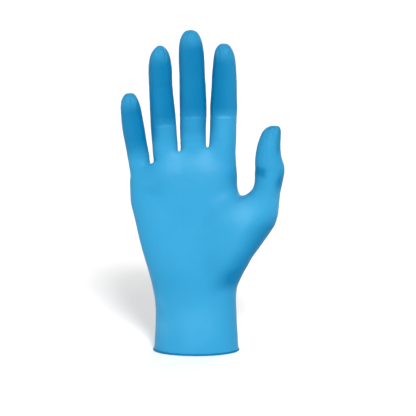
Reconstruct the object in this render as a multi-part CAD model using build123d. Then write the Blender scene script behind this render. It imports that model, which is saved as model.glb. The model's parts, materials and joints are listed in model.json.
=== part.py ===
from build123d import *
import os
from math import copysign, cos, pi, radians, sin, tan

# A disposable dipped glove, modelled as it stands when it keeps the shape of a right hand.
# One thin film makes the whole glove, so the sub-parts are its zones: the rolled bead, the
# cuff sleeve, the palm, the ball of the thumb, the knuckle band with the finger crotches,
# and the stalls of four fingers and a thumb. The film folds between zones. Each fold is a
# hinge, and the two edges that face each other slope away from the hinge line, so that a
# bent zone never meets its neighbour.
#
# Units are millimetres. +Z runs up the fingers, +X points to the thumb side and -Y is the
# palm side. The origin is the centre of the cuff opening, on the surface that the bead
# stands on.

# Film and folds
FILM = 1.0  # wall of every zone: the real film is about 0.1, too thin to collide well
FOLD_GAP = 0.4  # each edge's distance from its hinge line
FOLD_SPARE = 1.5  # degrees by which a sloped edge clears its neighbour at the joint's limit
FOLD_LAP = 3.0  # how far a stall is drawn past a fold before the fold trims it
OUTLINE_POINTS = 16  # points on one closed cross-section

# Rolled bead at the cuff's edge
BEAD_HALF_WIDTH = 32.2
BEAD_HALF_DEPTH = 22.0
BEAD_THICK = 1.6
BEAD_HEIGHT = 1.5
BEAD_TOP_ROUND = 0.7
BEAD_FOOT_ROUND = 0.35  # leaves the flat ring that the glove stands on

# Limits of each fold in degrees: (back, towards the palm)
WRIST_LIMITS = (50, 60)
KNUCKLE_LIMITS = (20, 55)
ROOT_LIMITS = (10, 30)
MIDDLE_LIMITS = (0, 80)
TIP_LIMITS = (0, 48)
THUMB_BASE_LIMITS = (10, 35)
THUMB_TIP_LIMITS = (10, 65)

# The wrist fold crosses the sleeve's narrowest place. The knuckle fold and the crotches
# above it slope down to the little finger, as the knuckles do.
WRIST_HEIGHT = 40.0
KNUCKLE_POINT = (-2.0, 0.5, 124.0)
KNUCKLE_SLOPE = 15.0
CROTCH_POINT = (-2.0, 0.5, 146.0)
CROTCH_SLOPE = 11.0

# Cross-sections. Each holds height, left edge, right edge, palm face, back face and
# squareness, where 2 is an ellipse.
SLEEVE_SECTIONS = [
    (0.8, -31.2, 31.2, -21.1, 21.1, 2.0),
    (8.0, -30.4, 30.6, -20.6, 20.6, 2.0),
    (22.0, -29.6, 29.8, -19.8, 19.8, 2.0),
    (34.0, -29.9, 29.5, -19.3, 19.3, 2.0),
    (46.0, -31.2, 29.8, -19.0, 18.8, 2.1),
]
HAND_SECTIONS = [
    (34.0, -29.9, 29.5, -19.3, 19.3, 2.0),
    (46.0, -31.2, 29.8, -19.0, 18.8, 2.1),
    (57.0, -33.2, 31.6, -18.4, 17.4, 2.3),
    (69.0, -37.0, 33.0, -17.6, 15.9, 2.5),
    (81.0, -40.6, 33.8, -16.6, 14.8, 2.7),
    (93.0, -43.0, 34.0, -15.4, 14.2, 2.8),
    (105.0, -46.3, 33.4, -14.4, 14.0, 2.9),
    (117.0, -48.6, 32.2, -13.4, 13.6, 3.0),
    (130.0, -48.9, 31.0, -11.8, 12.4, 3.0),
    (142.0, -49.6, 30.3, -9.8, 10.2, 2.9),
    (156.0, -50.6, 29.8, -7.8, 8.2, 2.8),
]
THUMB_ROOT_SECTIONS = [
    (50.0, 8.0, 26.0, -13.0, 4.0, 2.0),
    (57.0, 9.0, 33.6, -18.0, 5.5, 2.0),
    (68.0, 12.0, 40.6, -23.0, 6.5, 2.0),
    (80.0, 19.0, 48.2, -25.0, 5.0, 2.0),
    (93.0, 28.0, 57.2, -26.0, 3.0, 2.0),
    (102.0, 34.0, 60.6, -26.2, 0.8, 2.0),
    (112.0, 38.0, 61.8, -25.8, -1.6, 2.0),
    (126.0, 42.0, 64.0, -25.6, -3.6, 2.0),
]

# Fingers. Each has the place of its root fold, its sideways lean in degrees (+ is to the
# thumb side), the lengths of its base, middle and tip zones, and its widths at the root,
# middle and tip folds and at the pad.
FINGERS = {
    "index": ((19.4, 0.5, 158.0), 0.8, (16.9, 28.8, 28.6), (20.0, 19.8, 18.2, 17.0)),
    "middle": ((-2.1, 0.5, 158.0), -1.3, (16.9, 33.3, 32.8), (19.2, 19.8, 18.6, 18.2)),
    "ring": ((-22.8, 0.5, 154.3), -3.2, (13.1, 31.3, 31.2), (18.4, 18.2, 17.2, 17.2)),
    "little": ((-42.4, 0.5, 145.2), -7.8, (11.0, 19.0, 19.0), (16.2, 16.0, 15.2, 14.2)),
}
FINGER_CURL = (6.0, 5.0)  # further lean of the middle and tip zones at rest, to the palm
FINGER_DEPTHS = (0.84, 0.85, 0.81, 0.80)  # depth as a share of each width
ROOT_REACH = 18.0  # how far a finger's root reaches down into the knuckle band

# A stall's closed end, from its tip fold: share of its length and of the pad's size
END_OUTLINE = [(0.35, 1.0), (0.56, 0.95), (0.76, 0.80), (0.89, 0.58), (0.97, 0.33), (1.0, 0.12)]

# The thumb's own plane is turned from the fingers', and its tip zone leans back a little.
THUMB_BASE_POINT = (51.9, -14.0, 121.0)
THUMB_LEAN = 8.5
THUMB_TURN = 50.0
THUMB_CURL = -5.0
THUMB_LENGTHS = (18.0, 31.0)
THUMB_SIZES = ((21.6, 22.0), (20.6, 21.4), (17.4, 17.4))  # across and deep: base, tip, pad

# Folds, each with the hinge line on its own X, its zone above it on +Z, and -Y to the palm
wrist_fold = Pos(0, 0, WRIST_HEIGHT)
knuckle_fold = Pos(*KNUCKLE_POINT) * Rot(0, -KNUCKLE_SLOPE, 0)
crotches = Pos(*CROTCH_POINT) * Rot(0, -CROTCH_SLOPE, 0)
thumb_base_fold = Pos(*THUMB_BASE_POINT) * Rot(0, THUMB_LEAN, 0) * Rot(0, 0, -THUMB_TURN)
thumb_tip_fold = thumb_base_fold * Pos(0, 0, THUMB_LENGTHS[0]) * Rot(THUMB_CURL, 0, 0)


def finger_folds(name):
    """A finger's three folds: at its root, its middle and its tip."""
    point, lean, lengths, _ = FINGERS[name]
    root = Pos(*point) * Rot(0, lean, 0)
    middle = root * Pos(0, 0, lengths[0]) * Rot(FINGER_CURL[0], 0, 0)
    tip = middle * Pos(0, 0, lengths[1]) * Rot(FINGER_CURL[1], 0, 0)
    return root, middle, tip


def outline(height, left, right, front, back, power):
    """A closed, smooth cross-section between four edges, squarer for a higher power."""
    middle_x, half_x = (left + right) / 2, (right - left) / 2
    middle_y, half_y = (front + back) / 2, (back - front) / 2
    points = []
    for i in range(OUTLINE_POINTS):
        turn = 2 * pi * i / OUTLINE_POINTS
        across = copysign(abs(cos(turn)) ** (2 / power), cos(turn))
        deep = copysign(abs(sin(turn)) ** (2 / power), sin(turn))
        points.append(Vector(middle_x + half_x * across, middle_y + half_y * deep, height))
    return Face(Wire([Edge.make_spline(points, periodic=True)]))


def grown(sections, by):
    """The same cross-sections with every edge moved out, or in if by is negative."""
    return [
        (height, left - by, right + by, front - by, back + by, power)
        for height, left, right, front, back, power in sections
    ]


def through(sections):
    """A solid that passes smoothly through cross-sections."""
    return loft([outline(*section) for section in sections])


def shell(sections):
    """A tube of film that passes through cross-sections, open at both ends."""
    return through(sections) - through(grown(sections, -FILM))


def centred(stations):
    """Elliptical cross-sections on the Z axis. A station holds height, width and depth."""
    return [(z, -w / 2, w / 2, -d / 2, d / 2, 2.0) for z, w, d in stations]


def closed_stall(fold_size, length, pad_size):
    """A stall from below its tip fold to its rounded, closed end."""
    stations = [(-FOLD_LAP, *fold_size), (0, *fold_size)]
    stations += [(length * z, pad_size[0] * s, pad_size[1] * s) for z, s in END_OUTLINE]
    hollow = [(z * (1 - FILM / length), w, d) for z, w, d in stations]
    hollow = [(z, w * (1 - 2 * FILM / w), d * (1 - 2 * FILM / d)) for z, w, d in hollow[:-1]]
    return through(centred(stations)) - through(centred(hollow))


def fold_cut(limits, side, across, deep, high):
    """What a fold takes off a zone: all of it above the hinge (side 1) or below it (-1).

    Half of each bend is sloped off the zone's edge, on the face that the bend closes:
    -Y for a bend to the palm and +Y for a bend back.
    """
    back, palm = (
        side * (FOLD_GAP + (deep * tan(radians(limit / 2 + FOLD_SPARE)) if limit else 0))
        for limit in limits
    )
    corners = [
        (-deep, side * high),
        (-deep, -palm),
        (0, -side * FOLD_GAP),
        (deep, -back),
        (deep, side * high),
    ]
    return extrude(make_face(Plane.YZ * Polyline(*corners, close=True)), across, both=True)


def hand_cut(limits, side):
    """A fold cut that reaches across the whole hand."""
    return fold_cut(limits, side, 90, 60, 260)


def stall_cut(limits, side):
    """A fold cut that reaches across one stall."""
    return fold_cut(limits, side, 15, 15, 40)


def cuff_bead():
    """The rolled edge, flat underneath where it rests."""
    ring = Ellipse(BEAD_HALF_WIDTH, BEAD_HALF_DEPTH)
    ring -= Ellipse(BEAD_HALF_WIDTH - BEAD_THICK, BEAD_HALF_DEPTH - BEAD_THICK)
    bead = extrude(ring, BEAD_HEIGHT)
    bead = fillet(bead.edges().group_by(Axis.Z)[-1], BEAD_TOP_ROUND)
    return fillet(bead.edges().group_by(Axis.Z)[0], BEAD_FOOT_ROUND)


def cuff_sleeve():
    """The sleeve from the bead to the wrist fold."""
    below = Pos(0, 0, BEAD_HEIGHT / 2) * Box(90, 90, BEAD_HEIGHT)
    return shell(SLEEVE_SECTIONS) - below - wrist_fold * hand_cut(WRIST_LIMITS, 1)


def palm(hand, thumb_hollow):
    """The palm and the back of the hand, open at the wrist, the knuckles and the thumb."""
    film = hand[0] - hand[1] - thumb_hollow
    film -= wrist_fold * hand_cut(WRIST_LIMITS, -1)
    return film - knuckle_fold * hand_cut(KNUCKLE_LIMITS, 1)


def thumb_root(hand, thumb_hollow):
    """The ball of the thumb, up to the thumb's base fold."""
    film = through(THUMB_ROOT_SECTIONS) - thumb_hollow - hand[0]
    return film - thumb_base_fold * stall_cut(THUMB_BASE_LIMITS, 1)


def finger_core(name, by):
    """A finger's lower end as one solid, grown by a distance."""
    _, _, lengths, widths = FINGERS[name]
    root, _, _ = finger_folds(name)
    stations = [
        (-ROOT_REACH, widths[0], widths[0] * FINGER_DEPTHS[0]),
        (lengths[0], widths[1], widths[1] * FINGER_DEPTHS[1]),
    ]
    return root * through(grown(centred(stations), by))


def knuckle_band(hand):
    """The film over the knuckles, closed between the fingers, with a hole for each."""
    over = crotches * Pos(0, 0, 50) * Box(200, 100, 100)
    under_film = crotches * Pos(0, 0, 50 - FILM) * Box(200, 100, 100)
    band = (hand[0] - over) - (hand[1] - under_film)
    for name in FINGERS:
        band -= finger_core(name, 0)
    return band - knuckle_fold * hand_cut(KNUCKLE_LIMITS, -1)


def finger_root(name, hand):
    """A finger's lowest stretch, from the knuckle band to the finger's root fold."""
    root, _, _ = finger_folds(name)
    under_film = crotches * Pos(0, 0, 50 - FILM) * Box(200, 100, 100)
    film = finger_core(name, 0) - finger_core(name, -FILM) - (hand[1] - under_film)
    return film - root * stall_cut(ROOT_LIMITS, 1)


def finger_base(name):
    """A finger from its root fold to its middle fold."""
    _, _, lengths, widths = FINGERS[name]
    root, middle, _ = finger_folds(name)
    stations = [
        (-FOLD_LAP, widths[0], widths[0] * FINGER_DEPTHS[0]),
        (lengths[0] + FOLD_LAP, widths[1], widths[1] * FINGER_DEPTHS[1]),
    ]
    film = root * shell(centred(stations)) - root * stall_cut(ROOT_LIMITS, -1)
    return film - middle * stall_cut(MIDDLE_LIMITS, 1)


def finger_middle(name):
    """A finger from its middle fold to its tip fold."""
    _, _, lengths, widths = FINGERS[name]
    _, middle, tip = finger_folds(name)
    stations = [
        (-FOLD_LAP, widths[1], widths[1] * FINGER_DEPTHS[1]),
        (lengths[1] + FOLD_LAP, widths[2], widths[2] * FINGER_DEPTHS[2]),
    ]
    film = middle * shell(centred(stations)) - middle * stall_cut(MIDDLE_LIMITS, -1)
    return film - tip * stall_cut(TIP_LIMITS, 1)


def finger_tip(name):
    """A finger from its tip fold to its closed end."""
    _, _, lengths, widths = FINGERS[name]
    _, _, tip = finger_folds(name)
    fold_size = (widths[2], widths[2] * FINGER_DEPTHS[2])
    pad_size = (widths[3], widths[3] * FINGER_DEPTHS[3])
    film = tip * closed_stall(fold_size, lengths[2], pad_size)
    return film - tip * stall_cut(TIP_LIMITS, -1)


def thumb_base():
    """The thumb from its base fold to its tip fold."""
    stations = [(-FOLD_LAP, *THUMB_SIZES[0]), (THUMB_LENGTHS[0] + FOLD_LAP, *THUMB_SIZES[1])]
    film = thumb_base_fold * (shell(centred(stations)) - stall_cut(THUMB_BASE_LIMITS, -1))
    return film - thumb_tip_fold * stall_cut(THUMB_TIP_LIMITS, 1)


def thumb_tip():
    """The thumb from its tip fold to its closed end."""
    film = closed_stall(THUMB_SIZES[1], THUMB_LENGTHS[1], THUMB_SIZES[2])
    return thumb_tip_fold * (film - stall_cut(THUMB_TIP_LIMITS, -1))


def main():
    hand = through(HAND_SECTIONS), through(grown(HAND_SECTIONS, -FILM))
    thumb_hollow = through(grown(THUMB_ROOT_SECTIONS, -FILM))
    nodes = {
        "cuff_bead": cuff_bead(),
        "cuff_sleeve": cuff_sleeve(),
        "palm": palm(hand, thumb_hollow),
        "thumb_root": thumb_root(hand, thumb_hollow),
        "thumb_base": thumb_base(),
        "thumb_tip": thumb_tip(),
        "knuckle_band": knuckle_band(hand),
    }
    for name in FINGERS:
        nodes[name + "_root"] = finger_root(name, hand)
        nodes[name + "_base"] = finger_base(name)
        nodes[name + "_middle"] = finger_middle(name)
        nodes[name + "_tip"] = finger_tip(name)
    os.makedirs("parts", exist_ok=True)
    for node, shape in nodes.items():
        export_step(shape, f"parts/{node}.step")


if __name__ == "__main__":
    main()
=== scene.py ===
import bmesh
import bpy
import json
from math import atan2, copysign, cos, exp, pi, radians, sin, sqrt
from mathutils import Matrix, Vector, noise


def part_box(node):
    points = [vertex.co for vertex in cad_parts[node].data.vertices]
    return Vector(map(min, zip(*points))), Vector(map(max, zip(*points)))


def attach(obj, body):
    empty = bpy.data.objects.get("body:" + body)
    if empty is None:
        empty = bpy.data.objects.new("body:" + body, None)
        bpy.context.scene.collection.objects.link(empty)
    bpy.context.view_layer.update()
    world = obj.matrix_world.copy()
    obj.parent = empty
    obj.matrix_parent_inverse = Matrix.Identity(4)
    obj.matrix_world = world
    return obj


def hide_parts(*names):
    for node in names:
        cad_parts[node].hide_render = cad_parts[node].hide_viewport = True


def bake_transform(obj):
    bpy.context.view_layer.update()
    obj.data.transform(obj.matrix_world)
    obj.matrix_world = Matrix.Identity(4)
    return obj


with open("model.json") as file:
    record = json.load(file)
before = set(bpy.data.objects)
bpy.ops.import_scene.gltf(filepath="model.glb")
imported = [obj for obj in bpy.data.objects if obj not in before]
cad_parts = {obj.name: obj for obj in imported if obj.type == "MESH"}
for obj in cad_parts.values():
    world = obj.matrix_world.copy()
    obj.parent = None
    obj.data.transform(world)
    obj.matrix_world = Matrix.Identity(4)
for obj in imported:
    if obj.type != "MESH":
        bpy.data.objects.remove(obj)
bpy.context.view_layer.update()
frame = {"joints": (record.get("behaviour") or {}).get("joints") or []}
mm = 0.001
joints = {j["name"]: j for j in frame["joints"]}
fingerNames = ("index", "middle", "ring", "little")


def foldPoint(name):
    return Vector(joints[name]["pos_m"]) / mm


def foldAxis(name):
    return Vector(joints[name]["axis"])


def ease(low, high, value):
    share = min(max((value - low) / (high - low), 0), 1)
    return share * share * (3 - 2 * share)


# closed forms that the film is stretched over, in mm

def addRing(bm, place, left, right, front, back, square=2.0, segments=48):
    made = bmesh.ops.create_circle(bm, cap_ends=False, radius=1, segments=segments)["verts"]
    halfX, halfY = (right - left) / 2, (back - front) / 2
    for v in made:
        across = copysign(abs(v.co.x) ** (2 / square), v.co.x)
        deep = copysign(abs(v.co.y) ** (2 / square), v.co.y)
        v.co = place @ Vector((left + halfX * (1 + across), front + halfY * (1 + deep), 0))
    return list({e for v in made for e in v.link_edges})


def loftRings(bm, rings):
    for low, high in zip(rings, rings[1:]):
        bmesh.ops.bridge_loops(bm, edges=low + high)
    bmesh.ops.holes_fill(bm, edges=[e for e in bm.edges if e.is_boundary], sides=0)
    bmesh.ops.recalc_face_normals(bm, faces=bm.faces)


handForm = dict(
    sections=[  # height, left, right, palm face, back face, squareness
        (-4, -31.4, 31.7, -21.3, 21.3, 2.0),
        (1, -31.4, 31.7, -21.2, 21.2, 2.0),
        (5, -30.9, 31.2, -20.9, 20.9, 2.0),
        (12, -30.6, 30.9, -20.4, 20.4, 2.0),
        (20, -30.3, 30.4, -19.9, 19.9, 2.0),
        (30, -30.1, 30.1, -19.4, 19.4, 2.05),
        (40, -30.9, 29.7, -18.9, 19.0, 2.1),
        (51, -33.1, 30.9, -18.4, 18.2, 2.2),
        (63, -36.2, 32.4, -17.8, 16.9, 2.35),
        (75, -39.8, 33.4, -16.9, 15.6, 2.5),
        (87, -42.8, 34.2, -15.9, 14.6, 2.6),
        (99, -45.3, 34.0, -15.2, 14.2, 2.7),
        (111, -48.3, 33.3, -14.4, 13.9, 2.75),
        (126, -49.1, 31.1, -12.6, 12.6, 2.75),
        (134, -49.2, 30.3, -11.1, 11.3, 2.7),
        (141, -49.3, 29.9, -9.0, 9.5, 2.6),
        (149, -49.4, 29.6, -7.0, 7.8, 2.5),
        (156, -49.8, 29.6, -5.4, 6.4, 2.5),
    ],
    crotches=[(9.0, 152.5), (-12.5, 149.6), (-31.7, 141.0)],  # x and height, from the index finger on
    crotchFace=-4,  # how far in front of the middle those points lie
    crotchSlope=28,  # degrees that the film between two fingers drops to the back
)
thumbForm = dict(
    ball=[  # the thumb's ball runs into the palm: height, left, right, front, back
        (46, 4.0, 29.0, -14.0, 4.0),
        (56, 0.0, 34.0, -17.0, 6.0),
        (66, -3.0, 38.5, -19.2, 6.5),
        (76, -4.0, 43.5, -20.4, 6.0),
        (86, -3.0, 48.0, -20.9, 5.0),
        (96, 1.0, 51.5, -21.0, 3.0),
        (104, 8.0, 53.0, -20.6, 1.0),
        (110, 17.0, 54.0, -19.8, -2.0),
        (114, 25.0, 54.0, -18.8, -5.0),
    ],
    sections=[  # height, left, right, front, back
        (43, 6.0, 27.5, -14.0, 3.0),
        (50, 7.0, 31.2, -16.8, 4.6),
        (57, 8.5, 35.2, -18.8, 5.6),
        (64, 11.0, 38.3, -20.6, 6.2),
        (72, 14.5, 42.1, -22.0, 6.0),
        (80, 18.5, 47.4, -23.0, 5.0),
        (88, 23.0, 52.9, -23.8, 3.8),
        (96, 27.0, 58.1, -24.2, 2.4),
        (103, 28.0, 60.3, -24.6, 1.0),
        (110, 28.5, 60.9, -24.9, -0.8),
        (114.5, 28.0, 61.3, -25.2, -1.8),
        (117, 30.5, 61.7, -25.4, -2.3),
        (119.3, 36.0, 61.6, -25.5, -2.6),
        (121.8, 40.6, 62.0, -25.5, -3.0),
        (124, 41.8, 62.7, -25.4, -3.2),
        (127, 42.1, 63.1, -25.2, -3.6),
        (132, 42.5, 64.3, -25.0, -3.8),
        (137, 42.6, 65.2, -24.8, -4.0),
        (141, 42.7, 64.6, -24.5, -4.2),
        (147, 43.0, 62.5, -23.7, -5.0),
        (153, 43.8, 61.8, -23.0, -5.6),
        (158, 45.1, 61.9, -22.3, -6.0),
        (162, 46.6, 62.1, -21.5, -6.6),
        (165, 47.8, 62.4, -20.4, -7.6),
        (167.8, 50.0, 62.2, -18.8, -9.2),
        (170.0, 53.4, 61.3, -16.4, -11.6),
    ],
)
fingerForm = dict(
    # distance from the root fold as a share of the finger, width, depth as a share of width, shift sideways
    index=[(0, 20.0, 0.84, 0.3), (0.11, 19.7, 0.84, 0.4), (0.22, 19.7, 0.86, 0.5),
           (0.33, 20.2, 0.84, 0.6), (0.44, 19.4, 0.82, 0.6), (0.56, 18.7, 0.80, 0.7),
           (0.67, 18.3, 0.80, 0.6), (0.76, 17.2, 0.84, 0.6), (0.83, 16.2, 0.86, 0.5),
           (0.88, 14.9, 0.87, 0.3), (0.92, 13.2, 0.88, 0.1), (0.96, 10.2, 0.90, 0), (0.99, 5.6, 0.92, 0)],
    middle=[(0, 19.2, 0.86, 0), (0.10, 19.4, 0.86, 0), (0.20, 19.8, 0.86, 0.4),
            (0.34, 20.0, 0.84, 0.6), (0.48, 19.5, 0.82, 0.5), (0.58, 19.0, 0.80, 0.4),
            (0.70, 19.0, 0.79, 0.3), (0.78, 18.7, 0.81, 0.2), (0.85, 17.7, 0.84, 0.1),
            (0.90, 16.2, 0.86, 0), (0.94, 13.8, 0.88, 0), (0.975, 10.2, 0.90, 0), (0.993, 5.6, 0.92, 0)],
    ring=[(0, 19.0, 0.84, 0), (0.10, 19.0, 0.85, -0.2), (0.18, 19.2, 0.86, -0.3),
          (0.33, 18.7, 0.85, -0.3), (0.48, 17.9, 0.83, -0.5), (0.60, 17.4, 0.82, -0.5),
          (0.72, 17.6, 0.80, -0.2), (0.80, 17.0, 0.82, 0), (0.87, 15.4, 0.85, 0.2),
          (0.92, 12.9, 0.87, 0.5), (0.96, 9.4, 0.90, 0.7), (0.995, 3.6, 0.92, 0.9)],
    little=[(0, 16.4, 0.84, 0.1), (0.12, 16.2, 0.85, -0.1), (0.24, 16.3, 0.86, -0.4),
            (0.40, 16.6, 0.84, -0.6), (0.55, 16.2, 0.83, -0.6), (0.70, 15.5, 0.82, -0.5),
            (0.80, 14.4, 0.84, -0.5), (0.87, 12.8, 0.86, -0.4), (0.93, 10.3, 0.88, -0.2),
            (0.98, 6.4, 0.92, 0)],
    # below the root fold: mm, shares of width and depth
    inHand=[(-30, 0.80, 0.72), (-20, 0.92, 0.88), (-12, 0.98, 0.96), (-5, 1.0, 1.0)],
    tipCurl=5.0,  # the tip leans on by this many degrees
    slackTips=dict(index=2.2, middle=1.1, ring=1.2, little=0.2),  # how much shorter the film is there
)


def fingerPath(name):
    root, middle, tip = (foldPoint(f"{name}_{part}_fold") for part in ("root", "middle", "tip"))
    low, mid = (middle - root).normalized(), (tip - middle).normalized()
    high = Matrix.Rotation(radians(fingerForm["tipCurl"]), 3, foldAxis(f"{name}_tip_fold")) @ mid
    end = tip + high * ((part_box(f"{name}_tip")[1].z / mm - tip.z) / high.z - fingerForm["slackTips"][name])
    return dict(folds=(root, middle, tip, end), ways=(low, mid, high), axis=foldAxis(f"{name}_root_fold"))


paths = {name: fingerPath(name) for name in fingerNames}


def alongFinger(path, distance):
    folds, ways = path["folds"], path["ways"]
    reached = 0
    for low, high, way in zip(folds, folds[1:], ways):
        length = (high - low).length
        if distance <= reached + length or way == ways[-1]:
            return low + way * (distance - reached), way
        reached += length


def makeFinger(name):
    path = paths[name]
    length = sum((high - low).length for low, high in zip(path["folds"], path["folds"][1:]))
    first = fingerForm[name][0]
    stations = [(d, first[1] * w, first[1] * first[2] * t, 0) for d, w, t in fingerForm["inHand"]]
    stations += [(share * length, width, width * deep, shift)
                 for share, width, deep, shift in fingerForm[name]]
    bm = bmesh.new()
    rings = []
    for distance, width, depth, shift in stations:
        point, way = alongFinger(path, distance)
        side = path["axis"]
        place = Matrix((side, way.cross(side), way)).transposed().to_4x4()
        place.translation = point
        rings.append(addRing(bm, place, shift - width / 2, shift + width / 2, -depth / 2, depth / 2))
    loftRings(bm, rings)
    return bm


def makeHand():
    bm = bmesh.new()
    rings = [addRing(bm, Matrix.Translation((0, 0, z)), *edges, segments=96)
             for z, *edges in handForm["sections"]]
    loftRings(bm, rings)
    drop = radians(handForm["crotchSlope"])
    for (rightX, rightZ), (leftX, leftZ) in zip(handForm["crotches"], handForm["crotches"][1:]):
        rise = (rightZ - leftZ) / (rightX - leftX)
        up = Vector((-rise, sin(drop), cos(drop))).normalized()
        point = Vector((leftX, handForm["crotchFace"], leftZ))
        bmesh.ops.bisect_plane(bm, geom=bm.verts[:] + bm.edges[:] + bm.faces[:], dist=0.001,
                               plane_co=point, plane_no=up, clear_outer=True)
        bmesh.ops.holes_fill(bm, edges=[e for e in bm.edges if e.is_boundary], sides=0)
    return bm


def makeThumb():
    bm = bmesh.new()
    for part in ("ball", "sections"):
        rings = [addRing(bm, Matrix.Translation((0, 0, z)), *edges) for z, *edges in thumbForm[part]]
        loftRings(bm, rings)
    return bm


# the film: one smooth skin over all the forms

filmLook = dict(
    handVoxel=1.6,
    handSmoothing=2,
    # the film bridges between thumb and hand: points along the join, then reach in mm and smoothing passes
    join=[(35, -12, 112), (28, -17, 102), (22, -18, 92), (14, -18, 82), (10, -18, 70), (14, -18, 58),
          (28, -19, 56), (36, -20, 118), (22, -18, 110), (30, -21, 86), (26, -20, 70), (33, 2, 64),
          (33, 2, 78), (34, 1, 92), (34, 0, 104), (35, -2, 114)],
    joinSmoothing=[(18, 30), (13, 35), (8, 20)],
    voxel=0.65,
    smoothing=14,
    crotchSmoothing=[(13, 40), (9, 60)],  # reach in mm up and down from just below the crotches, and passes
    crotchMiddle=2,  # that far below them
    faceTilt=0.55,  # how squarely a point on a face of the hand looks forward or back
    crotchRound=(4.5, 25),  # reach in mm, and passes
    edgeSmoothing=[((-49.5, 0, 131), 13, 40), ((30.5, 0, 141), 10, 20), ((64, -14, 128), 7, 12),
                   ((-40, -8, 139), 8, 30)],
    thumbSide=34,  # the thumb is to the right of this
    rim=1.0,  # height of the film's lower edge, inside the bead
    thickness=0.12,
    cutEdge=0.5,  # a face turned further than this from the film's own normal is a cut edge
)


def smoothed(bm, verts, passes):
    for _ in range(passes):
        bmesh.ops.smooth_vert(bm, verts=verts, factor=0.5,
                              use_axis_x=True, use_axis_y=True, use_axis_z=True)


def wrapped(forms, voxel):
    whole = bmesh.new()
    for form in forms:
        mesh = bpy.data.meshes.new("form")
        form.to_mesh(mesh)
        form.free()
        whole.from_mesh(mesh)
        bpy.data.meshes.remove(mesh)
    mesh = bpy.data.meshes.new("forms")
    whole.to_mesh(mesh)
    whole.free()
    forms = bpy.data.objects.new("forms", mesh)
    bpy.context.collection.objects.link(forms)
    remesh = forms.modifiers.new("skin", "REMESH")
    remesh.mode = "VOXEL"
    remesh.voxel_size = voxel
    skin = bpy.data.meshes.new_from_object(forms.evaluated_get(bpy.context.evaluated_depsgraph_get()))
    bpy.data.objects.remove(forms)
    bm = bmesh.new()
    bm.from_mesh(skin)
    return bm


def crotchHeight(x):
    (rightX, rightZ), (midX, midZ), (leftX, leftZ) = handForm["crotches"]
    if x > midX:
        return midZ + (rightZ - midZ) * (x - midX) / (rightX - midX)
    return leftZ + (midZ - leftZ) * (x - leftX) / (midX - leftX)


def makeFilm():
    hand = wrapped([makeHand(), makeThumb()], filmLook["handVoxel"])
    smoothed(hand, hand.verts[:], filmLook["handSmoothing"])
    for reach, passes in filmLook["joinSmoothing"]:
        near = [v for v in hand.verts
                if any((v.co - Vector(point)).length < reach for point in filmLook["join"])]
        smoothed(hand, near, passes)
    bm = wrapped([hand] + [makeFinger(name) for name in fingerNames], filmLook["voxel"])
    smoothed(bm, bm.verts[:], filmLook["smoothing"])
    for reach, passes in filmLook["crotchSmoothing"]:
        bm.normal_update()
        near = [v for v in bm.verts
                if v.co.x < filmLook["thumbSide"] and abs(v.normal.y) > filmLook["faceTilt"]
                and abs(v.co.z - crotchHeight(v.co.x) + filmLook["crotchMiddle"]) < reach]
        smoothed(bm, near, passes)
    crotches = [Vector((x, 0, z)) for x, z in handForm["crotches"]]
    near = [v for v in bm.verts if any((v.co - c).xz.length < filmLook["crotchRound"][0] for c in crotches)]
    smoothed(bm, near, filmLook["crotchRound"][1])
    for point, reach, passes in filmLook["edgeSmoothing"]:
        smoothed(bm, [v for v in bm.verts if (v.co - Vector(point)).length < reach], passes)
    bmesh.ops.bisect_plane(bm, geom=bm.verts[:] + bm.edges[:] + bm.faces[:], dist=0.0001,
                           plane_co=(0, 0, filmLook["rim"]), plane_no=(0, 0, 1), clear_inner=True)
    return bm


# where the film folds, and the seams between the pieces that bend at different folds

foldZones = dict(
    wrist=(20, 60),  # heights
    knuckle=12,  # each side of the fold
    root=dict(index=6, middle=6, ring=4.5, little=3.9),  # each side of a finger's root fold
    tip=7,  # each side of a finger's tip fold
    thumb=(-4.5, 7, 29),  # along the thumb from its base fold: seam, end of that bend, end of the tip's
    thumbSide=35.5,  # the thumb is to the right of this, above its crotch
    cutReach=4,  # a cut takes only the faces this near its seam
)
knuckleUp = Vector((-foldAxis("knuckle_fold").z, 0, foldAxis("knuckle_fold").x))
thumbRoot, thumbBend = foldPoint("thumb_base_fold"), foldPoint("thumb_tip_fold")
thumbUp = (thumbBend - thumbRoot).normalized()


def fingerAt(point):
    def sideways(name):
        path = paths[name]
        near, _ = alongFinger(path, (point - path["folds"][0]).dot(path["ways"][0]))
        return abs((point - near).dot(path["axis"]))
    return min(fingerNames, key=sideways)


def seamsOf(name):
    root, middle, tip, _ = paths[name]["folds"]
    low, mid, _ = paths[name]["ways"]
    reach = foldZones["root"][name]
    bend = (middle - root).length - reach
    last = (bend + (tip - middle).length - foldZones["tip"]) / 2
    return [(root - low * reach, low), (root + low * reach, low), (middle + mid * last, mid)]


seams = {name: seamsOf(name) for name in fingerNames}
knuckleSeam = (foldPoint("knuckle_fold") - knuckleUp * foldZones["knuckle"], knuckleUp)
thumbSeams = [(thumbRoot + thumbUp * distance, thumbUp) for distance in foldZones["thumb"][:2]]


def above(seam, point):
    return (point - seam[0]).dot(seam[1]) > 0


def pieceAt(point):
    if point.z < foldZones["wrist"][1]:
        return "cuff"
    if point.x > foldZones["thumbSide"] and above(thumbSeams[0], point):
        return "thumb_end" if above(thumbSeams[1], point) else "thumb_base"
    if not above(knuckleSeam, point):
        return "palm"
    name = fingerAt(point)
    passed = sum(above(seam, point) for seam in seams[name])
    return "knuckles" if passed == 0 else f"{name}_{('root', 'middle', 'end')[passed - 1]}"


def cutAcross(bm, seam, faces):
    parts = set(faces) | {e for f in faces for e in f.edges} | {v for f in faces for v in f.verts}
    bmesh.ops.bisect_plane(bm, geom=list(parts), dist=0.0001, plane_co=seam[0], plane_no=seam[1])


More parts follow.
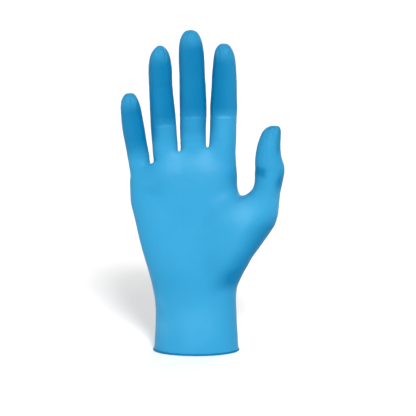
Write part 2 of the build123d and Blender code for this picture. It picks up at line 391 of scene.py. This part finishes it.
def cutSeams(bm):
    reach = foldZones["cutReach"]
    cutAcross(bm, (Vector((0, 0, foldZones["wrist"][1])), Vector((0, 0, 1))), bm.faces[:])
    middles = [(f, f.calc_center_median()) for f in bm.faces]
    cutAcross(bm, knuckleSeam, [f for f, c in middles if c.x < foldZones["thumbSide"]
                                and abs((c - knuckleSeam[0]).dot(knuckleUp)) < reach])
    for seam in thumbSeams:
        middles = [(f, f.calc_center_median()) for f in bm.faces]
        cutAcross(bm, seam, [f for f, c in middles if c.x > foldZones["thumbSide"]
                             and abs((c - seam[0]).dot(seam[1])) < reach])
    for name in fingerNames:
        for seam in seams[name]:
            middles = [(f, f.calc_center_median()) for f in bm.faces]
            near = [f for f, c in middles if abs((c - seam[0]).dot(seam[1])) < reach]
            cutAcross(bm, seam, [f for f in near if fingerAt(f.calc_center_median()) == name])


# marks in the film: creases, pads and slack

marks = dict(
    halfFinger=9,
    # how squarely the film faces the palm's side or the back, from no mark to the full mark
    handFace=(0.2, 0.7),
    fingerPalm=(0.1, 0.6),
    fingerBack=(0.2, 0.8),
    thumbPad=(0.2, 0.8),
    # creases across the palm side of the fingers, at the middle folds
    creaseRidge=(0.27, -0.2, 0.8),  # height, place above the crease, half width
    creaseStep=(0.40, 0.3, 1.8, 4, 16),  # depth, then where above the crease it starts, is full, turns, ends
    creaseRise=dict(index=1.3, middle=0.6, ring=1.8, little=0.0),  # above the fold
    littleShare=0.3,  # of both, on the little finger
    creaseEnds=(0.66, 0.88),  # fading out to the finger's sides, from its middle at 0 to its edge at 1
    rootDip=(0.12, -1.2, 1.2),  # depth, place above the root fold, half width
    tipDip=(0.16, 2.4),  # depth and half width, at the tip fold
    # slack over the back of the middle joints
    slackDips=(-2.6, 0, 2.4),
    slackDip=(0.16, 0.8),  # depth, half width
    jointSwell=(0.35, 6),  # height, half width
    backEnds=(0.5, 0.95),
    # height, folds round, folds along, full to here and none from here below the tip, and the smooth tip
    tipGathers=(0.12, 3.2, 0.10, 6, 12, 1.2),
    thumbDips=[(0.35, -2, 3.0), (0.15, 1, 1.6)],  # depth, place above the tip and the base fold, half width
    handToFingers=(140, 156),  # the marks of the hand fade out between these heights
    handToThumb=(-4, 6),  # and along the thumb
    slack=[(0.05, 0.13), (0.03, 0.31)],  # height, scale
    cuffWaves=(0.16, 5, 1.1, 3, 0.04, 10, 50),  # height, round, shift, round again, twist, full to, none by
    cuffHalves=(30, 20),  # half width and half depth that the waves go round
    pads=[  # x, z, radius, height; on the palm face
        (-4, 96, 24, -1.3),
        (-31, 84, 17, 1.4),
        (19, 138, 9, 0.5),
        (-2, 138, 9, 0.5),
        (-22, 133, 8.5, 0.6),
        (-41, 126, 8, 0.7),
        (34, 108, 12, 0.8),
    ],
    knuckles=[(19, 137, 8, 1.1), (-2, 138, 8, 1.2), (-22, 133, 8, 1.0), (-41, 126, 7, 0.9)],  # on the back
    grooves=[  # on the palm: x and z of both ends, half width, depth
        (-46, 123, -24, 116, 3.2, 0.55),
        (-14, 57, -30, 39, 3.0, 0.55),
        (30, 52, 12, 46, 3.5, 0.4),
    ],
    grooveEnds=0.06,  # share of a groove at each end that keeps the same depth
)


def toSegment(x, z, groove):
    x0, z0, x1, z1 = groove[:4]
    dx, dz = x1 - x0, z1 - z0
    share = min(max(((x - x0) * dx + (z - z0) * dz) / (dx * dx + dz * dz), 0), 1)
    distance = sqrt((x - x0 - share * dx) ** 2 + (z - z0 - share * dz) ** 2)
    return distance, sin(pi * min(max(share, marks["grooveEnds"]), 1 - marks["grooveEnds"]))


def bell(distance, width):
    return exp(-(distance / width) ** 2)


def handMarks(co, normal):
    palmFace, backFace = ease(*marks["handFace"], -normal.y), ease(*marks["handFace"], normal.y)
    move = 0
    if palmFace:
        move += palmFace * sum(height * bell(sqrt((co.x - x) ** 2 + (co.z - z) ** 2), radius)
                               for x, z, radius, height in marks["pads"])
        for groove in marks["grooves"]:
            distance, share = toSegment(co.x, co.z, groove)
            move -= palmFace * groove[5] * share * bell(distance, groove[4])
    if backFace:
        move += backFace * sum(height * bell(sqrt((co.x - x) ** 2 + (co.z - z) ** 2), radius)
                               for x, z, radius, height in marks["knuckles"])
    return move


def fingerMarks(name, co, normal):
    path = paths[name]
    root, middle, tip, end = path["folds"]
    low, mid, high = path["ways"]
    side = path["axis"]
    near, way = alongFinger(path, (co - root).dot(low))
    across = (co - near).dot(side) / marks["halfFinger"]
    palmFace = ease(*marks["fingerPalm"], -normal.y) * (1 - ease(*marks["creaseEnds"], abs(across)))
    backFace = ease(*marks["fingerBack"], normal.y) * (1 - ease(*marks["backEnds"], abs(across)))
    fromMiddle = (co - middle).dot(mid) - marks["creaseRise"][name]
    fromTip = (co - tip).dot(high)
    fromRoot = (co - root).dot(low)
    full = marks["littleShare"] if name == "little" else 1
    height, above, width = marks["creaseRidge"]
    move = palmFace * full * height * bell(fromMiddle - above, width)
    depth, start, deepest, turn, last = marks["creaseStep"]
    move -= palmFace * full * depth * ease(start, deepest, fromMiddle) * (1 - ease(turn, last, fromMiddle))
    depth, above, width = marks["rootDip"]
    move -= palmFace * depth * bell(fromRoot - above, width)
    depth, width = marks["tipDip"]
    move -= palmFace * depth * bell(fromTip, width)
    depth, width = marks["slackDip"]
    for offset in marks["slackDips"]:
        move -= backFace * depth * bell(fromMiddle - offset, width)
    height, width = marks["jointSwell"]
    move += backFace * height * bell(fromMiddle, width)
    height, around, along, full, none, start = marks["tipGathers"]
    toEnd = (end - co).dot(high)
    if toEnd < none:
        turn = atan2((co - near).dot(side), (co - near).dot(way.cross(side)))
        folds = noise.noise(Vector((cos(turn) * around, sin(turn) * around, toEnd * along + near.x)))
        move += height * folds * (1 - ease(full, none, toEnd)) * ease(0, start, toEnd)
    return move


def thumbMarks(co, normal):
    along = (co - thumbRoot).dot(thumbUp)
    bend = (thumbBend - thumbRoot).length
    padWay = thumbUp.cross(foldAxis("thumb_tip_fold"))  # to the pad
    pad = ease(*marks["thumbPad"], normal.dot(padWay))
    return -sum(depth * pad * bell(along - fold - above, width)
                for fold, (depth, above, width) in zip((bend, 0), marks["thumbDips"]))


def markFilm(bm, zones):
    bm.normal_update()
    moves = []
    for v, zone in zip(bm.verts, zones):
        co, normal = v.co, v.normal
        move = sum(height * noise.noise(co * scale) for height, scale in marks["slack"])
        kept = 1 - ease(*marks["handToFingers"], co.z)
        if zone.startswith("thumb"):
            move += thumbMarks(co, normal)
            kept *= 1 - ease(*marks["handToThumb"], (co - thumbRoot).dot(thumbUp))
        elif zone.split("_")[0] in fingerNames:
            move += fingerMarks(zone.split("_")[0], co, normal)
        move += kept * handMarks(co, normal)
        height, around, shift, again, twist, full, none = marks["cuffWaves"]
        if co.z < none:
            halfWidth, halfDepth = marks["cuffHalves"]
            turn = atan2(co.y / halfDepth, co.x / halfWidth)
            waves = sin(around * turn + shift) * cos(again * turn + co.z * twist)
            move += height * (1 - ease(full, none, co.z)) * waves
        moves.append(move)
    for v, move in zip(bm.verts, moves):
        v.co += v.normal * move


# painted shade and painted highlights in the film's colour, with a deeper tone on the fingers and thumb

shadeAndTone = dict(
    palmEdge=(-0.3, 0.5),  # how squarely the film faces the palm's side, from none to the full depth
    # painted shade along the edge of the thumb's ball where it turns away from the light: x and z of both
    # ends, full to here, none from here, strength
    thenarShade=(60, 98, 27, 47, 2, 21, 0.95),
    thenarSide=8,  # it is to the right of this
    thenarEnds=(42, 60, 94, 110),  # height: it starts, is full, begins to end and ends here
    shadePatches=[  # painted shade where the strength is above 0, painted highlight where it is below: x, z, radius, strength; on the palm face
        (27, 57, 9, 0.35),
        (29, 131, 7, 0.40),
        (-20, 54, 9, 0.14),
        (13, 66, 8, 0.16),
        (-3, 55, 12, 0.10),
        (12, 50, 10, 0.12),
        (27, 37, 8, 0.20),
        (28, 24, 7, 0.16),
        (29, 11, 7, 0.12),
        (1, 22, 15, -0.08),
        (-28, 20, 9, -0.14),
        (-29, 38, 7, -0.08),
        (-29, 124, 9, 0.16),
        (-36, 137, 8, 0.20),
        (35, 106, 10, -0.26),
        (-14, 143, 8, -0.10),
        (7, 143, 7, -0.10),
    ],
    rootShade=dict(index=0.0, middle=0.38, ring=0.22, little=0.16),  # painted shade below the middle fold
    rootStart=(-1, 9),  # from none to full above the root fold
    # painted shade on a finger's side towards its neighbour: towards this side above the middle fold,
    # towards this side below it, and how much there
    sideShade=dict(index=(-1, -1, 0.55), middle=(1, 1, 0.15), ring=(1, -1, 0.6), little=(1, 1, 0.2)),
    sideStart=(-2, 12),  # from none to full above the root fold
    sideEdge=(0.15, 0.9),  # from the middle of the finger at 0 to its edge at 1
    # the deeper colour of a finger, partly painted shade where it curls away from the light, starts here
    # above its crease:
    # on the little finger, then the palm's side of the others in two steps, then their back
    littleStart=(-15, 3),
    sharpStarts=[(0.1, 0.9), (0.5, 8)],
    backStart=(-16, 14),
    creaseHighlight=(0.2, -0.3, 0.7),  # painted highlight along the crease: how much paler, place above the crease, half width
    creaseEnds=(0.5, 0.8),  # it fades out here, across the finger
    farSide=0.68,  # painted shade is fuller towards the neighbouring finger; share of the full depth on the paler side of a finger
    farEdge=(-1, 0.4),  # from there to the full depth, across the finger
    tipHighlight=(0.72, 5, 15),  # painted highlight on the fingertip: how much paler, full to here and none from here, from the tip
    # the thumb: its own depth, then strength, place above its tip fold and reach of each painted shade mark
    thumb=0.2,
    thumbFade=(-4, 12),  # from none to full along the thumb
    thumbCreaseShade=(0.7, -3, 14, 46.5, 22),  # painted shade at the crease by the tip fold, and its x and reach in x; both reaches are squares
    # painted shade on the side away from the pad, below the tip fold
    thumbBackShade=(0.6, -9.5, 6),
    thumbRimShade=(0.4, -4, 4),  # painted shade near the base on the side away from the pad: strength, full to here, none from here
    thumbNailShade=(0.55, 8, 16),  # painted shade towards the tip on the side away from the pad: strength, none to here, full from here
    backEdge=(-0.5, 0.1),  # how squarely the film faces away from the pad, from none of a mark to all of it
    rimEdge=(-0.35, 0.3),
    nailEdge=(-0.3, 0.2),
)
gathers = dict(  # where the film wrinkles lengthwise
    finger=(5, 14),  # full to here, none from here below the tip
    thumbTip=(0.7, 160, 167),  # strength, none to this height, full from this height
    thumb=(0.25, -3, 12),  # strength, from none to full along the thumb
)


def thumbShadeAndDepth(co, normal, palmFace):
    along = (co - thumbRoot).dot(thumbUp)
    fromBend = along - (thumbBend - thumbRoot).length
    away = -normal.dot(thumbUp.cross(foldAxis("thumb_tip_fold")))  # 1 where it looks away from the pad
    # painted shade at the crease and on the side turned away from the light
    share, above, reach, x, reachX = shadeAndTone["thumbCreaseShade"]
    deep = shadeAndTone["thumb"]
    deep += share * palmFace * bell((fromBend - above) ** 2, reach) * bell((co.x - x) ** 2, reachX)
    share, above, reach = shadeAndTone["thumbBackShade"]
    deep += share * ease(*shadeAndTone["backEdge"], away) * bell(fromBend - above, reach)
    share, full, none = shadeAndTone["thumbRimShade"]
    deep += share * ease(*shadeAndTone["rimEdge"], away) * (1 - ease(full, none, fromBend))
    share, none, full = shadeAndTone["thumbNailShade"]
    deep += share * ease(*shadeAndTone["nailEdge"], away) * ease(none, full, fromBend)
    return min(deep * ease(*shadeAndTone["thumbFade"], along), 1)


def fingerShadeAndDepth(name, co, palmFace):
    path = paths[name]
    root, middle, _, end = path["folds"]
    low, mid, high = path["ways"]
    near, _ = alongFinger(path, (co - root).dot(low))
    across = (co - near).dot(path["axis"]) / marks["halfFinger"]
    fromRoot = (co - root).dot(low)
    fromCrease = (co - middle).dot(mid) - marks["creaseRise"][name]
    # painted shade below the middle fold and on the side towards the neighbouring finger
    side, lowSide, sideShare = shadeAndTone["sideShade"][name]
    below = shadeAndTone["rootShade"][name] * ease(*shadeAndTone["rootStart"], fromRoot)
    below += sideShare * ease(*shadeAndTone["sideEdge"], lowSide * across) * ease(*shadeAndTone["sideStart"], fromRoot)
    start = ease(*shadeAndTone["littleStart"], fromCrease)
    paintedHighlight = 0
    if name != "little":
        sharp = sum(ease(*step, fromCrease) for step in shadeAndTone["sharpStarts"]) / 2
        start = palmFace * sharp + (1 - palmFace) * ease(*shadeAndTone["backStart"], fromCrease)
        # painted highlight along the crease on the palm's side
        share, above, width = shadeAndTone["creaseHighlight"]
        paintedHighlight = share * palmFace * bell(fromCrease - above, width)
        paintedHighlight *= 1 - ease(*shadeAndTone["creaseEnds"], abs(across))
    farSide = shadeAndTone["farSide"]
    beyond = start * (farSide + (1 - farSide) * ease(*shadeAndTone["farEdge"], side * across))
    # painted highlight on the fingertip
    share, full, none = shadeAndTone["tipHighlight"]
    pale = share * (1 - ease(full, none, (end - co).dot(high)))
    return (below + (1 - below) * beyond) * (1 - pale) - paintedHighlight


def shadeAndDepth(zone, co, normal):  # 0 where the film is pale, 1 where it is deepest; above 0 mostly painted shade, below 0 painted highlight
    name = zone.split("_")[0]
    palmFace = ease(*shadeAndTone["palmEdge"], -normal.y)
    if name == "thumb":
        return thumbShadeAndDepth(co, normal, palmFace)
    # painted shade along the edge of the thumb's ball
    x0, z0, x1, z1, full, none, strength = shadeAndTone["thenarShade"]
    away = ((co.x - x0) * (z1 - z0) - (co.z - z0) * (x1 - x0)) / sqrt((x1 - x0) ** 2 + (z1 - z0) ** 2)
    deep = 0
    start, deepest, turn, last = shadeAndTone["thenarEnds"]
    if co.x > shadeAndTone["thenarSide"]:
        deep = strength * (1 - ease(full, none, away))
        deep *= ease(start, deepest, co.z) * (1 - ease(turn, last, co.z))
    # painted shade and painted highlight patches on the palm face
    for x, z, radius, share in shadeAndTone["shadePatches"]:
        deep += palmFace * share * bell(sqrt((co.x - x) ** 2 + (co.z - z) ** 2), radius)
    if name in fingerNames:
        deep += fingerShadeAndDepth(name, co, palmFace)
    return min(deep, 1)


def wrinkledness(zone, co):  # 1 at the tips of the fingers, where the film gathers
    name = zone.split("_")[0]
    if name == "thumb":
        tip, low, high = gathers["thumbTip"]
        side, start, full = gathers["thumb"]
        return tip * ease(low, high, co.z) + side * ease(start, full, (co - thumbRoot).dot(thumbUp))
    if name not in fingerNames:
        return 0.0
    path = paths[name]
    return 1 - ease(*gathers["finger"], (path["folds"][3] - co).dot(path["ways"][2]))


# the film's pieces, one for each fold

pieceRides = {  # piece: the body it rides on, a second body, and the CAD parts it stands for; a piece with a second body is not attached here, only left in place
    "cuff": ("cuff", "palm", ["cuff_sleeve"]),
    "palm": ("palm", None, ["palm", "thumb_root"]),
    "knuckles": ("palm", "knuckles", ["knuckle_band"] + [f"{name}_root" for name in fingerNames]),
    "thumb_base": ("palm", "thumb_base", ["thumb_base"]),
    "thumb_end": ("thumb_base", "thumb_tip", ["thumb_tip"]),
}
for name in fingerNames:
    pieceRides[f"{name}_root"] = ("knuckles", f"{name}_base", [])
    pieceRides[f"{name}_middle"] = (f"{name}_base", f"{name}_middle", [f"{name}_base", f"{name}_middle"])
    pieceRides[f"{name}_end"] = (f"{name}_middle", f"{name}_tip", [f"{name}_tip"])


def splitFilm(bm, zones):
    normals = bm.verts.layers.float_vector.new("filmNormal")
    deep = bm.verts.layers.float.new("deep")
    wrinkled = bm.verts.layers.float.new("wrinkled")
    bm.normal_update()
    for v, zone in zip(bm.verts, zones):
        v[normals] = v.normal
        # painted shade and painted highlights, kept as the deep attribute
        v[deep] = shadeAndDepth(zone, v.co, v.normal)
        v[wrinkled] = wrinkledness(zone, v.co)
    found = {}
    for f in bm.faces:
        found.setdefault(pieceAt(f.calc_center_median()), []).append(f.index)
    made = {}
    for piece, kept in found.items():
        part = bm.copy()
        part.faces.ensure_lookup_table()
        kept = set(kept)
        bmesh.ops.delete(part, geom=[f for f in part.faces if f.index not in kept], context="FACES")
        bmesh.ops.solidify(part, geom=part.faces[:], thickness=filmLook["thickness"])
        bmesh.ops.scale(part, vec=(mm, mm, mm), verts=part.verts)
        mesh = bpy.data.meshes.new(piece + "_film")
        part.to_mesh(mesh)
        part.free()
        keepNormals(mesh)
        made[piece] = mesh
    return made


def keepNormals(mesh):
    mesh.shade_smooth()
    kept = mesh.attributes["filmNormal"].data
    normals = [Vector() for _ in mesh.loops]
    for polygon in mesh.polygons:
        for i in polygon.loop_indices:
            wanted = kept[mesh.loops[i].vertex_index].vector
            turned = polygon.normal.dot(wanted)
            if abs(turned) > filmLook["cutEdge"]:
                normals[i] = wanted * copysign(1, turned)
    mesh.normals_split_custom_set(normals)
    mesh.attributes.remove(mesh.attributes["filmNormal"])


# materials

nitrile = dict(
    # the ramp runs from light through pale to deep: painted highlights towards light, painted shade towards
    # deep
    light=(0.058, 0.312, 0.532, 1),  # the palest colour, reached mainly where painted highlights are
    pale=(0.025, 0.246, 0.452, 1),
    deep=(0.0, 0.140, 0.306, 1),
    roughness=(0.36, 0.48),
    specular=0.085,
    clouds=(45, 3, 0.16),  # uneven thickness: scale, detail, share of the way from pale to deep
    paleStop=0.2,  # where pale is on the way from light to deep
    subsurface=0.06,
    subsurfaceReach=(0.002, (0.3, 0.7, 1.0)),  # metres, and the share of it for red, green and blue
    patternDetail=3,
    patternDistortion=0.5,
    # relief: scale of the pattern, height in metres, stretch along the glove
    grain=(2600, 0.00002, 1),
    slackLines=(330, 0.00012, 0.12),
    tipWrinkles=(480, 0.0021, 0.16),
)


def link(tree, source, output, target, socket):
    tree.links.new(source.outputs[output], target.inputs[socket])


def attributeNode(tree, name):
    node = tree.nodes.new("ShaderNodeAttribute")
    node.attribute_name = name
    return node


def mathNode(tree, operation, *inputs):
    node = tree.nodes.new("ShaderNodeMath")
    node.operation = operation
    for i, given in enumerate(inputs):
        if isinstance(given, (int, float)):
            node.inputs[i].default_value = given
        else:
            link(tree, given[0], given[1], node, i)
    return node


def addRelief(tree, place, look, below, share=None):
    scale, height, stretch = look
    stretched = tree.nodes.new("ShaderNodeMapping")
    stretched.inputs["Scale"].default_value = (1, 1, stretch)
    link(tree, place, "Object", stretched, "Vector")
    pattern = tree.nodes.new("ShaderNodeTexNoise")
    pattern.inputs["Scale"].default_value = scale
    pattern.inputs["Detail"].default_value = nitrile["patternDetail"]
    pattern.inputs["Distortion"].default_value = nitrile["patternDistortion"]
    link(tree, stretched, "Vector", pattern, "Vector")
    relief = tree.nodes.new("ShaderNodeBump")
    relief.inputs["Distance"].default_value = height
    heights = (pattern, "Fac")
    if share:
        heights = (mathNode(tree, "MULTIPLY", heights, (share, "Fac")), "Value")
    link(tree, *heights, relief, "Height")
    if below:
        link(tree, below, "Normal", relief, "Normal")
    return relief


def makeFilmMaterial(name, pale, deep):
    material = bpy.data.materials.new(name)
    material.use_nodes = True
    tree = material.node_tree
    shader = tree.nodes["Principled BSDF"]
    place = tree.nodes.new("ShaderNodeTexCoord")
    clouds = tree.nodes.new("ShaderNodeTexNoise")
    scale, detail, share = nitrile["clouds"]
    clouds.inputs["Scale"].default_value = scale
    clouds.inputs["Detail"].default_value = detail
    link(tree, place, "Object", clouds, "Vector")
    cloudy = mathNode(tree, "MULTIPLY_ADD", (clouds, "Fac"), share, -share / 2)
    # the deep attribute carries painted shade and painted highlights, added to random clouds
    depth = mathNode(tree, "ADD", (cloudy, "Value"), (attributeNode(tree, "deep"), "Fac"))
    stop = nitrile["paleStop"]
    depth = mathNode(tree, "MULTIPLY_ADD", (depth, "Value"), 1 - stop, stop)
    colours = tree.nodes.new("ShaderNodeValToRGB")
    colours.color_ramp.elements[0].color = nitrile["light"]
    colours.color_ramp.elements.new(stop).color = pale
    colours.color_ramp.elements[2].color = deep
    link(tree, depth, "Value", colours, "Fac")
    link(tree, colours, "Color", shader, "Base Color")
    gloss = tree.nodes.new("ShaderNodeMapRange")
    gloss.inputs["To Min"].default_value, gloss.inputs["To Max"].default_value = nitrile["roughness"]
    link(tree, clouds, "Fac", gloss, "Value")
    link(tree, gloss, "Result", shader, "Roughness")
    relief = addRelief(tree, place, nitrile["tipWrinkles"], None, attributeNode(tree, "wrinkled"))
    relief = addRelief(tree, place, nitrile["slackLines"], relief)
    relief = addRelief(tree, place, nitrile["grain"], relief)
    link(tree, relief, "Normal", shader, "Normal")
    shader.inputs["Specular IOR Level"].default_value = nitrile["specular"]
    shader.inputs["Subsurface Weight"].default_value = nitrile["subsurface"]
    scale, radius = nitrile["subsurfaceReach"]
    shader.inputs["Subsurface Scale"].default_value = scale
    shader.inputs["Subsurface Radius"].default_value = radius
    return material


film = makeFilm()
print("film:", len(film.verts), "vertices")
cutSeams(film)
filmZones = [pieceAt(v.co) for v in film.verts]
markFilm(film, filmZones)
print("film cut and marked")
filmMaterial = makeFilmMaterial("nitrile film", nitrile["pale"], nitrile["deep"])
for piece, mesh in splitFilm(film, filmZones).items():
    print(piece, len(mesh.polygons), "faces")
    skin = bpy.data.objects.new(mesh.name, mesh)
    bpy.context.collection.objects.link(skin)
    mesh.materials.append(filmMaterial)
    first, second, nodes = pieceRides[piece]
    if second:
        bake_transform(skin)
    else:
        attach(skin, first)
    if nodes:
        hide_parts(*nodes)
film.free()
print("film pieces:", len(pieceRides))


# the rolled bead round the cuff

beadForm = dict(
    halfWidth=31.4,
    halfDepth=21.2,
    radius=0.75,
    turns=160,
    sides=12,
    sway=(0.12, 7, 0.5, 2),  # in mm, then waves round the cuff, their shift, and waves of the waves
)


def makeBead():
    bm = bmesh.new()
    turned = Matrix.Rotation(pi / 2, 4, "X")
    start = Matrix.Translation((beadForm["halfWidth"], 0, beadForm["radius"])) @ turned
    ring = bmesh.ops.create_circle(bm, segments=beadForm["sides"], radius=beadForm["radius"], matrix=start)
    bmesh.ops.spin(bm, geom=ring["verts"] + list({e for v in ring["verts"] for e in v.link_edges}),
                   cent=(0, 0, 0), axis=(0, 0, 1), angle=2 * pi, steps=beadForm["turns"], use_merge=True)
    bmesh.ops.remove_doubles(bm, verts=bm.verts, dist=0.001)
    halfWidth, halfDepth = beadForm["halfWidth"], beadForm["halfDepth"]
    sway, waves, shift, beats = beadForm["sway"]
    for v in bm.verts:
        turn = atan2(v.co.y, v.co.x)
        out = Vector((v.co.x, v.co.y, 0)).length - halfWidth
        line = Vector((halfWidth * cos(turn), halfDepth * sin(turn), 0))
        away = Vector((cos(turn) / halfWidth, sin(turn) / halfDepth, 0)).normalized()
        line += away * (out + sway * sin(waves * turn + shift) * sin(beats * turn))
        v.co = Vector((line.x, line.y, v.co.z))
    bmesh.ops.recalc_face_normals(bm, faces=bm.faces)
    bmesh.ops.scale(bm, vec=(mm, mm, mm), verts=bm.verts)
    mesh = bpy.data.meshes.new("cuff_bead_roll")
    bm.to_mesh(mesh)
    bm.free()
    mesh.shade_smooth()
    return mesh


bead = bpy.data.objects.new("cuff_bead_roll", makeBead())
bpy.context.collection.objects.link(bead)
bead.data.materials.append(makeFilmMaterial("rolled nitrile", nitrile["deep"], nitrile["deep"]))
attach(bead, "cuff")
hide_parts("cuff_bead")
print("bead ready")


# floor, light and camera

studio = dict(
    floorSize=12.0,
    floorColour=(0.92, 0.92, 0.92, 1),
    floorRoughness=0.9,
    worldColour=(1.0, 1.0, 1.0, 1),
    worldStrength=0.66,
    # suns: azimuth to the right of the front, elevation, strength, softness in degrees
    suns=dict(key=(8.5, 30.8, 2.93, 12), back=(165, 18, 0.9, 40)),
    sideLight=(-50, 30, 1.8, 1.2, 2),  # azimuth, elevation, distance, size, power
    aim=(8.8, 0, 107.0),  # the middle of the view, in mm
    lens=190,
    distance=1.62,
    elevation=9.0,
)


def makeStudio():
    bm = bmesh.new()
    bmesh.ops.create_grid(bm, x_segments=2, y_segments=2, size=studio["floorSize"] / 2)
    mesh = bpy.data.meshes.new("floor")
    bm.to_mesh(mesh)
    bm.free()
    floor = bpy.data.objects.new("floor", mesh)
    bpy.context.collection.objects.link(floor)
    material = bpy.data.materials.new("pale floor")
    material.use_nodes = True
    shader = material.node_tree.nodes["Principled BSDF"]
    shader.inputs["Base Color"].default_value = studio["floorColour"]
    shader.inputs["Roughness"].default_value = studio["floorRoughness"]
    shader.inputs["Specular IOR Level"].default_value = 0
    mesh.materials.append(material)
    world = bpy.data.worlds.new("studio")
    world.use_nodes = True
    background = world.node_tree.nodes["Background"]
    background.inputs["Color"].default_value = studio["worldColour"]
    seen = world.node_tree.nodes.new("ShaderNodeLightPath")  # plain white behind, softer as a light
    white = world.node_tree.nodes.new("ShaderNodeMapRange")
    white.inputs["To Min"].default_value = studio["worldStrength"]
    link(world.node_tree, seen, "Is Camera Ray", white, "Value")
    link(world.node_tree, white, "Result", background, "Strength")
    bpy.context.scene.world = world


def wayTo(azimuth, elevation):
    turn, rise = radians(azimuth), radians(elevation)
    return Vector((sin(turn) * cos(rise), -cos(turn) * cos(rise), sin(rise)))


def addLamp(name, light, way, distance):
    lamp = bpy.data.objects.new(name, light)
    lamp.location = Vector(studio["aim"]) * mm + way * distance
    lamp.rotation_euler = way.to_track_quat("Z", "Y").to_euler()
    bpy.context.collection.objects.link(lamp)


def makeLights():
    for name, (azimuth, elevation, strength, softness) in studio["suns"].items():
        sun = bpy.data.lights.new(name, "SUN")
        sun.energy, sun.angle = strength, radians(softness)
        addLamp(name, sun, wayTo(azimuth, elevation), 2)
    azimuth, elevation, distance, size, power = studio["sideLight"]
    side = bpy.data.lights.new("side", "AREA")
    side.energy, side.size = power, size
    addLamp("side", side, wayTo(azimuth, elevation), distance)


def makeCamera():
    rise = radians(studio["elevation"])
    camera = bpy.data.objects.new("camera", bpy.data.cameras.new("camera"))
    camera.data.lens = studio["lens"]
    camera.location = Vector(studio["aim"]) * mm + studio["distance"] * Vector((0, -cos(rise), sin(rise)))
    camera.rotation_euler = (pi / 2 - rise, 0, 0)
    bpy.context.collection.objects.link(camera)
    bpy.context.scene.camera = camera


makeStudio()
makeLights()
makeCamera()
bpy.context.scene.view_settings.view_transform = "Standard"
print("studio ready")
